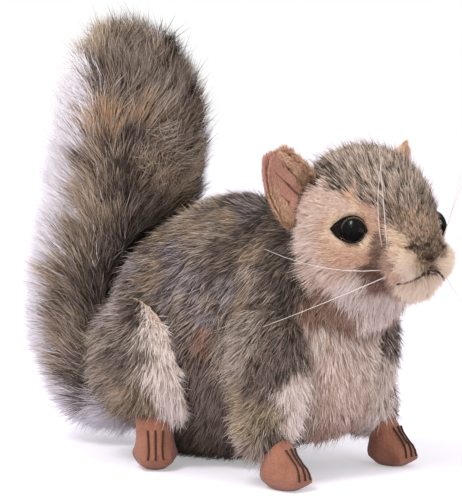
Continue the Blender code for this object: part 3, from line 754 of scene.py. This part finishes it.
# In the strokes below, the dark stroke on the crease under the rust patch, the short dark strokes
# below it and the dark marks along the tail's creases are painted shade.
TAIL_STROKES = """
143 32 0.1 -1 19 brown 0.5
100 45 -0.35 -0.95 19 tan 0.5
170 42 0.5 -0.9 19 dark 0.5
112 80 -0.15 -1 20 dark 0.6
136 90 0.05 -1 19.5 dark 0.8
180 78 0.6 -0.8 18 dark 0.7
202 105 0.85 -0.5 19.5 dark 0.8
104 125 -0.1 -1 19.5 rust 0.85
140 120 0.3 -0.9 19.5 rust 0.9
160 110 0.65 -0.75 19.5 brown 0.5
131 150 0.3 -0.9 19.5 dark 0.1
155 140 0.9 -0.35 19.5 brown 0.5
190 136 0.95 -0.3 15 brown 0.6
175 162 0.9 -0.35 16 brown 0.4
198 172 0.9 -0.4 11 tan 0.9
190 185 0.9 -0.4 10 tan 1
90 160 -0.25 -0.95 19.5 brown 0.4
112 178 -0.05 -1 19.5 tan 0.3
140 178 0.5 -0.85 19.5 tan 0.1
160 184 0.8 -0.6 19.5 tan 0.4
82 200 -0.3 -0.95 19.5 tan 0.5
104 218 -0.1 -1 19.5 tan 0.15
125 220 0.2 -0.95 19.5 dark 0.32
144 206 0.5 -0.85 19.5 dark 0.22
67 250 -0.45 -0.85 19.5 brown 0.5
75 245 -0.3 -0.95 19.5 tan 0.15
95 255 0.2 -0.95 19.5 dark 0.42
59 285 -0.6 -0.7 19.5 tan 0.3
70 292 -0.5 -0.8 19.5 brown 0.1
80 300 0 -1 19.5 dark 0.1
59 322 -0.7 -0.6 19.5 brown 0.1
65 340 -0.5 -0.8 19.5 tan 0.25
75 345 -0.2 -0.9 19.5 brown 0.1
66 370 -0.8 -0.4 19.5 tan 0.15
75 375 -0.5 -0.8 19.5 dark 0.3
85 395 -0.6 -0.6 19.5 dark 0.1
74 95 -0.4 -0.9 18.5 white 0.9
58 140 -0.5 -0.85 18.5 white 0.9
56 180 -0.5 -0.85 18.5 white 0.9
48 220 -0.6 -0.8 18.5 white 0.9
35 260 -0.7 -0.7 18.5 white 0.9
28 300 -0.9 -0.4 18.5 white 0.9
33 350 -0.9 -0.3 18.5 white 0.9
48 400 -0.8 -0.3 18.5 white 0.9
90 418 -0.7 0.2 18.5 white 0.9
0 94 210 0 0.8 0.6 18.5 white 0.9
0 111 180 0 0.8 0.6 18.5 white 0.9
0 121 150 0 0.8 0.6 18.5 white 0.9
0 131 120 0 0.9 0.4 18.5 white 0.9
0 136 90 0 1 0.2 18.5 white 0.9
0 136 55 0 1 0 18.5 white 0.9
0 120 25 0 1 -0.1 16 white 0.9
0 96 14 0 1 -0.1 12 white 0.9
0 46 215 0 0 1 18.5 brown 0.5
0 36 170 0 -0.3 0.9 18.5 dark 0.5
70 120 -.4 -.9 18.5 white 0.6
70 150 -.4 -.9 18.5 white 0.6
69 185 -.5 -.85 18.5 white 0.6
63 212 -.5 -.8 18.5 white 0.6
mark 82 147 118 150 2.6 dark 0.1
mark 100 172 150 179 4.5 dark 0
118 187 0.1 -0.9 10 dark 0.2
146 189 0.6 -0.7 10 dark 0.2
mark 142 203 165 205 4 dark 0.1
56 238 -0.6 -0.8 18.5 white 0.9
51 262 -0.6 -0.7 18.5 white 0.9
45 288 -0.8 -0.5 18.5 white 0.9
40 380 -0.8 -0.3 18.5 white 0.9
85 412 -0.7 0.1 18.5 white 0.9
105 420 -0.6 0.2 16 white 0.9
44 312 -0.9 -0.4 17 white 0.8
46 335 -0.9 -0.3 17 white 0.8
50 365 -0.9 -0.3 17 white 0.8
52 390 -0.8 -0.2 17 white 0.8
"""

tail_plush = pile_material(
    "brown and white tail plush, dyed and brushed pile",
    ["brown", "tan", "rust", "dark", "white"],
)
tail_comb = strokes(TAIL_STROKES, "tail", FOREPAWS, soft=0.004)
fur(
    "tail_fur",
    cloth("tail", tail_comb, grain=0.005, depth=0.25),
    tail_comb,
    tail_plush,
    count=90000,
    seed=51,
    by=mingled("torso", "haunch_right", "haunch_left"),
    lift=44,
    lay=20,
    clump=0.14,
    wide=0.00036,
    guard=(0.14, 1.12, 8),
    mottle=(0.016, 0.14, 0.44),
)


# Head. The plush of the body with long guard hair on the crown; the face is shorn to a short
# pile in peach and cream, and the cheeks keep a longer one that is brushed back.

EYES = ("eye_right", "eye_left")
ON_HEAD = {"ear": 0.0001, "eye_patch": 0.0, "eye": 0.0012}  # how clear the pile keeps of each
# The russet strokes under the cheek and on the neck below the chin are painted shade.
HEAD_STROKES = """
359 150 -0.75 -0.65 8 crown 0.65
332 166 -0.8 -0.6 10 crown 0.42
322 170 -0.9 -0.45 9 crown 0.4
373 164 -0.5 -0.85 8.5 crown 0.65
387 157 -0.4 -0.9 7 crown 0.65
400 171 -0.3 -0.95 7 crown 0.6
414 180 -0.15 -0.95 8 crown 0.75
424 195 -0.1 -1 7 crown 0.59
350 172 -0.7 -0.7 9 crown 0.75
373 185 -0.55 -0.8 9 crown 0.7
394 192 -0.4 -0.9 8 crown 0.65
408 208 -0.3 -0.95 4 crown 0.59
387 212 -0.5 -0.85 7 crown 0.26
366 199 -0.7 -0.7 8 crown 0.26
345 188 -0.8 -0.5 7 crown 0.26
332 182 -0.8 -0.5 4 crown 0.26
410 222 -0.3 -0.9 2.2 bridge 0.75
425 222 -0.2 -0.95 2.2 bridge 0.75
400 218 -0.4 -0.8 2.4 bridge 0.45
435 232 -0.1 -1 2 bridge 0.65
418 236 -0.3 -0.9 1.8 bridge 0.55
430 243 -0.1 -1 1.6 bridge 0.45
318 194 -0.9 -0.1 3 blush 0.36
312 212 -0.9 0.2 4.5 blush 0.48
332 197 -0.9 -0.2 3 blush 0.2
350 200 -0.9 -0.3 3 peach 0.2
366 212 -0.8 -0.3 2.5 peach 0.4
368 228 -0.8 0 2.2 peach 0.2
315 222 -0.9 0.2 5 blush 0.48
323 224 -0.9 0.1 3 peach 0.3
309 239 -0.85 0.5 8 blush 0.8
332 240 -0.9 0.3 3 peach 0.6
353 248 -0.9 0.2 2.6 peach 0.4
339 260 -0.85 0.35 3.5 peach 0.3
365 258 -0.8 0.2 2.6 peach 0.2
380 253 -0.8 0.1 2.6 umber 0.15
373 272 -0.8 0.4 4 umber 0.15
385 240 -0.8 0 2.2 umber 0.5
391 262 -0.7 0.2 2.2 peach 0.2
392 238 -0.7 -0.1 2 pale 0.7
403 246 -0.6 -0.1 1.8 pale 0.4
410 246 -0.4 -0.6 1.8 bridge 0.55
332 211 -0.9 -0.1 2 blush 0.3
346 207 -0.8 -0.2 2 blush 0.4
358 214 -0.8 -0.2 2 pale 0.35
346 242 -0.3 -1 5.4 pale 0.3
336 237 0 -1 3.6 pale 0.4
336 218 0.3 1 3.4 pale 0.4
327 226 -0.9 0.1 2 pale 0.4
363 243 -0.8 -0.6 3 pale 0.3
356 244 -0.3 -1 5.6 pale 0.3
312 274 -0.8 0.6 11 blush 0.7
332 280 -0.5 0.75 8 blush 0.8
353 280 -0.5 0.7 8 milk 0.7
346 293 -0.4 0.8 9 milk 0.6
373 300 -0.1 0.9 9 milk 0.5
387 300 0.1 0.9 9 milk 0.5
385 285 -0.5 0.7 5 umber 0.4
400 300 0.3 0.9 8 milk 0.7
410 295 0.5 0.8 7 milk 0.7
-28 -54 135 0 0.8 -0.5 8 grey 0.5
0 -54 155 0 1 -0.3 8 grey 0.5
-28 -59 110 0 0.5 -0.8 9 grey 0.5
0 -64 90 0 0.5 -0.8 9 russet 0.4
335 306 -0.2 1 8 russet 0.4
322 298 -0.5 0.8 8 russet 0.5
350 318 0 1 8 russet 0.4
365 316 0 1 8 cream 0.5
340 330 0 1 8 russet 0.3
441 240 0 -1 1.8 bridge 0.55
mark 413 245 422 251 1.1 nose 0
mark 440 244 444 249 1.0 nose 0.1
mark 426 256 434 256 0.7 nose 0.6
"""

MUZZLE_STROKES = """
414 262 -0.4 0 3 pale 1
405 268 -0.6 0.2 3 pale 0.8
420 288 0.2 0.9 5 pale 1
405 287 -0.4 0.8 6 pale 1
438 285 0.5 0.7 5 pale 0.7
446 262 0.7 0.2 4.7 pale 0.9
402 243 -0.7 -0.2 4 pale 0.7
392 244 -0.8 0 5 pale 0.6
386 252 -0.9 0.1 5.5 umber 0.4
384 264 -0.9 0.2 5.5 umber 0.35
392 266 -0.8 0.2 4.8 russet 0.8
396 256 -0.8 0.1 4 peach 0.6
398 275 -0.7 0.4 3.6 peach 0.5
390 284 -0.6 0.6 5.5 russet 0.7
410 275 -0.4 0.6 3.4 pale 1
416 264 -0.4 0.4 2.6 pale 1
404 262 -0.6 0.2 3 pale 0.9
414 247 -0.3 -0.9 2 bridge 0.3
421 251 -0.2 -0.9 2 bridge 0.4
442 250 0.2 -0.9 2 bridge 0.5
mark 414 246 422 252 1.0 nose 0
mark 440 246 444 250 0.9 nose 0.1
mark 430 258 430 267 0.6 umber 0.5
mark 428 271 431 270 1.5 nose 0
mark 423 273 410 279 0.4 nose 0.6
mark 408 279 395 281 0.4 umber 0.4
mark 434 271 440 277 0.6 nose 0.6
"""

face_plush = pile_material(
    "face plush, dyed and shorn pile",
    ["crown", "bridge", "blush", "peach", "pale", "milk", "umber", "grey", "russet", "nose", "cream"],
)
head_comb = strokes(HEAD_STROKES, "head", EYES, soft=0.0022)
muzzle_comb = strokes(MUZZLE_STROKES, "muzzle", EYES, soft=0.0015)
on_face = {f"{part}_{side}": gap for part, gap in ON_HEAD.items() for side in SIDES}
lids = tuple(node for node in on_face if "eye" in node)
fur(
    "head_fur",
    cloth("head", head_comb, grain=0.0022, depth=0.3, lids=lids),
    head_comb,
    face_plush,
    count=190000,
    seed=61,
    by=mingled("torso", "muzzle") | on_face,
    lids=lids,
    wide=0.00028,
    lift=42,
    lay=20,
    stray=0.12,
    swirl=0.1,
    flock=8,
    fleck=1.0,
    mottle=(0.008, 0.16, 0.42),
)
fur(
    "muzzle_fur",
    cloth("muzzle", muzzle_comb, grain=0.0012, depth=0.3),
    muzzle_comb,
    face_plush,
    count=52000,
    seed=71,
    by=mingled("head"),
    wide=0.00024,
    lift=40,
    lay=20,
    sheer=0.4,
    stray=0.18,
    swirl=0.15,
    flock=8,
    fleck=1.0,
    mottle=(0.006, 0.12, 0.24),
)


# Ears. A leaf of tan plush with a lining of shorn pink velour, whose two long folds are drawn as
# dark lines of painted shade that widen at the ear's base; at the front the lining has the leaf's
# dye and longer pile, as if the leaf's edge were turned over.

# The dark marks along the lining's folds and the wide dark mark at its base are painted shade.
LINING_STROKES = """
272 160 -0.2 -1 1.5 velour 0.6
279 168 -0.2 -1 0.9 velour 0.6
272 180 -0.1 -1 1.5 velour 0.6
284 174 -0.2 -1 0.9 velour 0.8
289 183 -0.3 -0.9 0.9 velour 0.7
295 191 -0.3 -0.9 0.9 velour 0.3
285 194 -0.3 -0.9 0.9 velour 0.7
294 203 -0.3 -0.9 0.9 velour 0.8
300 210 -0.3 -0.9 1 velour 0.5
276 196 -0.4 -0.9 1.8 flap 0.9
281 206 -0.4 -0.9 2.2 flap 0.8
288 216 -0.4 -0.9 2.2 flap 0.7
296 224 -0.4 -0.9 2.2 flap 0.5
289 151 -0.3 -1 3 flap 1
297 158 -0.2 -1 3.4 flap 1
304 167 -0.2 -1 3.4 flap 1
297 172 -0.3 -1 3.4 flap 0.8
307 178 -0.1 -1 3.4 flap 0.2
304 188 0 -1 3 flap 0
mark 282 155 287 168 0.4 fold 0.9
mark 280 158 284 168 0.3 fold 1
mark 289 170 303 194 0.8 fold 0.4
mark 276 174 287 184 0.4 fold 1
mark 287 184 305 204 0.8 fold 0.4
mark 281 196 289 203 0.4 fold 1
mark 289 203 300 215 0.8 fold 0.3
mark 303 212 305 222 1.2 fold 0
"""

LEAF_STROKES = """
268 158 -0.3 -0.9 2 velour 0.7
266 170 -0.3 -0.9 2 velour 0.7
268 185 -0.3 -0.9 2 velour 0.7
278 150 -0.4 -0.9 1.6 flap 0.8
290 147 -0.2 -1 3 flap 1
303 158 0 -1 3.4 flap 1
313 170 0.1 -1 3.4 flap 0.5
273 198 -0.6 -0.7 2 flap 0.8
278 210 -0.6 -0.6 2.2 flap 0.7
290 222 -0.5 -0.6 2.4 flap 0.5
-36 -60 160  -0.2 0.3 1  3 flap 0.7
-32 -62 140  -0.2 0.5 0.8  3 flap 0.4
-24 -62 162  0.4 0.1 0.9  7 flap 0.9
-24 -58 166  0.5 0.1 0.9  7 flap 0.9
-27 -56 150  0.5 0.4 0.8  6 flap 0.8
"""

ear_plush = pile_material("ear plush and velour, dyed and shorn pile", ["velour", "flap", "fold"])
for node, table, grain, count, slot, others in (
    ("ear", LEAF_STROKES, 0.0009, 16000, "ear_plush", ("head", "ear_lining_{}")),
    ("ear_lining", LINING_STROKES, 0.0007, 24000, "ear_velour", ("head",)),
):
    comb = strokes(table, node + "_right", EYES, soft=0.0012)
    for side in SIDES:
        fur(
            f"{node}_fur_{side}",
            cloth(f"{node}_{side}", comb, grain, depth=0.12),
            comb,
            ear_plush,
            count,
            seed=81,
            by={other.format(side): 0.0 for other in others},
            wide=0.00026,
            lift=34,
            lay=16,
            stray=0.14,
            swirl=0.08,
            mottle=(0.008, 0.12, 0.18),
        )


# Feet. Tan velour, a knit with a pile under a millimetre, stuffed firm; dark thread is drawn
# through it between the toes.

VELOUR_DARK, VELOUR_LIGHT = "85543f", "b27a64"
velour, tree, shader = new_material("tan velour, knitted and shorn", roughness=0.85, specular=0.2)
shader.inputs["Sheen Weight"].default_value = 0.25
place = add_node(tree, "ShaderNodeTexCoord")
grain = add_node(
    tree, "ShaderNodeTexNoise", {"Vector": place.outputs["Object"], "Scale": 1400.0, "Detail": 2.0}
)
cloud = add_node(
    tree, "ShaderNodeTexNoise", {"Vector": place.outputs["Object"], "Scale": 90.0, "Detail": 2.0}
)
both = add_node(tree, "ShaderNodeMath", {0: grain.outputs[0], 1: cloud.outputs[0]}, operation="ADD")
share = add_node(
    tree, "ShaderNodeMapRange", {0: both.outputs[0], "From Min": 0.6, "From Max": 1.4}
)
mix = add_node(
    tree,
    "ShaderNodeMixRGB",
    {0: share.outputs[0], 1: linear(VELOUR_DARK), 2: linear(VELOUR_LIGHT)},
)
tree.links.new(mix.outputs[0], shader.inputs["Base Color"])
bump = add_node(
    tree, "ShaderNodeBump", {"Strength": 0.5, "Distance": 0.0004, "Height": grain.outputs[0]}
)
tree.links.new(bump.outputs[0], shader.inputs["Normal"])
for name in (*FOREPAWS, "hind_foot_right", "hind_foot_left"):
    nodes[name].data.materials[0] = velour

thread, _, _ = new_material(
    "dark brown polyester thread, twisted", roughness=0.7, specular=0.2, colour="4a3429"
)
for name, node in nodes.items():
    if "thread" in name:
        node.data.materials[0] = thread


# Eyes and whiskers. Moulded black plastic with a polished dome, in a black felt patch; the
# whiskers are drawn nylon bristle.

eye_plastic, _, shader = new_material(
    "black plastic, moulded and polished", roughness=0.12, specular=0.5, colour="0d0b0b"
)
shader.inputs["Coat Weight"].default_value = 0.6
shader.inputs["Coat Roughness"].default_value = 0.05
felt, _, _ = new_material("black felt, pressed", roughness=0.95, specular=0.1, colour="1a1512")
bristle, _, _ = new_material(
    "clear nylon bristle, drawn", roughness=0.35, specular=0.4, colour="e8dcd2"
)
for name, node in nodes.items():
    if name in EYES:
        node.data.materials[0] = eye_plastic
        node.data.shade_smooth()
    elif "eye_patch" in name:
        node.data.materials[0] = felt

WHISKER_SIDES = 6
WHISKER_ROOT, WHISKER_TIP = 0.65, 0.25  # of the CAD form's thickness


def tapered(node):
    """A whisker's own mesh, drawn in ring by ring from its root in the lip to its tip."""
    bm = bmesh.new()
    bm.from_mesh(nodes[node].data)
    bmesh.ops.remove_doubles(bm, verts=bm.verts, dist=WELD)
    bm.verts.ensure_lookup_table()
    spots = np.array([v.co for v in bm.verts])
    lip = np.array(middle_of("muzzle"))
    order = np.linalg.norm(spots - lip, axis=1).argsort()
    rings = np.array_split(order, len(spots) // WHISKER_SIDES)
    for number, ring in enumerate(rings):
        centre = spots[ring].mean(0)
        thin = WHISKER_ROOT + (WHISKER_TIP - WHISKER_ROOT) * number / (len(rings) - 1)
        for vert in ring:
            bm.verts[vert].co = centre + (spots[vert] - centre) * thin
    mesh = bpy.data.meshes.new(node + "_bristle")
    bm.to_mesh(mesh)
    bm.free()
    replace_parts(mesh_object(node + "_bristle", mesh, bristle), node)


for name in [name for name in nodes if "whisker" in name]:
    tapered(name)


# Studio ground and light. A white sheet lit until it is as white as the page, and soft light
# from the upper left, as the photo's faint shadow under the body shows.

PAPER, PAPER_IN_GLOSS, PAPER_GLOW = "ece6f2", "303030", 0.34
FLOOR_REACH, FLOOR_DROP = 3.0, 0.0002
SKY_SEEN, SKY_LIGHT, SKY_IN_GLOSS = 1.0, 0.85, 0.12

floor_mesh = bpy.data.meshes.new("studio_floor")
bm = bmesh.new()
bmesh.ops.create_grid(bm, x_segments=1, y_segments=1, size=FLOOR_REACH)
bm.to_mesh(floor_mesh)
bm.free()
paper, tree, shader = new_material(
    "white paper sheet, matte", roughness=0.95, specular=0.0, colour=PAPER
)
path = add_node(tree, "ShaderNodeLightPath")
glow = add_node(
    tree,
    "ShaderNodeMath",
    {0: path.outputs["Is Camera Ray"], 1: PAPER_GLOW},
    operation="MULTIPLY",
)
shader.inputs["Emission Color"].default_value = (1, 1, 1, 1)
tree.links.new(glow.outputs[0], shader.inputs["Emission Strength"])
dim = add_node(
    tree,
    "ShaderNodeMixRGB",
    {0: path.outputs["Is Glossy Ray"], 1: linear(PAPER), 2: linear(PAPER_IN_GLOSS)},
)
tree.links.new(dim.outputs[0], shader.inputs["Base Color"])
floor_mesh.materials.append(paper)
studio_floor = bpy.data.objects.new("studio_floor", floor_mesh)
studio_floor.location.z = -FLOOR_DROP
bpy.context.scene.collection.objects.link(studio_floor)

world = bpy.data.worlds.new("studio")
bpy.context.scene.world = world
world.use_nodes = True
sky = world.node_tree
background = sky.nodes["Background"]
path = add_node(sky, "ShaderNodeLightPath")
dim = add_node(
    sky, "ShaderNodeMix", {0: path.outputs["Is Glossy Ray"], 2: SKY_LIGHT, 3: SKY_IN_GLOSS}
)
level = add_node(
    sky, "ShaderNodeMix", {0: path.outputs["Is Camera Ray"], 2: dim.outputs[0], 3: SKY_SEEN}
)
sky.links.new(level.outputs[0], background.inputs["Strength"])
background.inputs["Color"].default_value = (1, 1, 1, 1)

LIT = (0, 0, 0.1)


def lamp(name, where, size, power):
    """A round soft light that looks at the toy's lower half."""
    light = bpy.data.lights.new(name, "AREA")
    light.shape = "DISK"
    light.size = size
    light.energy = power
    made = bpy.data.objects.new(name, light)
    made.location = where
    way = (Vector(LIT) - Vector(where)).normalized()
    made.rotation_euler = way.to_track_quat("-Z", "Y").to_euler()
    bpy.context.scene.collection.objects.link(made)


lamp("key_light", (-1.0, -0.1, 1.3), size=0.5, power=12.0)
lamp("fill_light", (-0.3, -1.5, 0.7), size=0.3, power=4.0)

SENSOR = 36  # millimetres high
camera = bpy.data.objects.new("camera", bpy.data.cameras.new("camera"))
camera.matrix_world = (
    Matrix.Translation(eye_point) @ Matrix((right, upward, to_camera)).transposed().to_4x4()
)
camera.data.sensor_fit = "VERTICAL"
camera.data.sensor_height = SENSOR
camera.data.lens = SENSOR * VIEW_DISTANCE / (PICTURE[1] * PIXEL)
bpy.context.scene.collection.objects.link(camera)
bpy.context.scene.camera = camera
bpy.context.scene.view_settings.view_transform = "Standard"
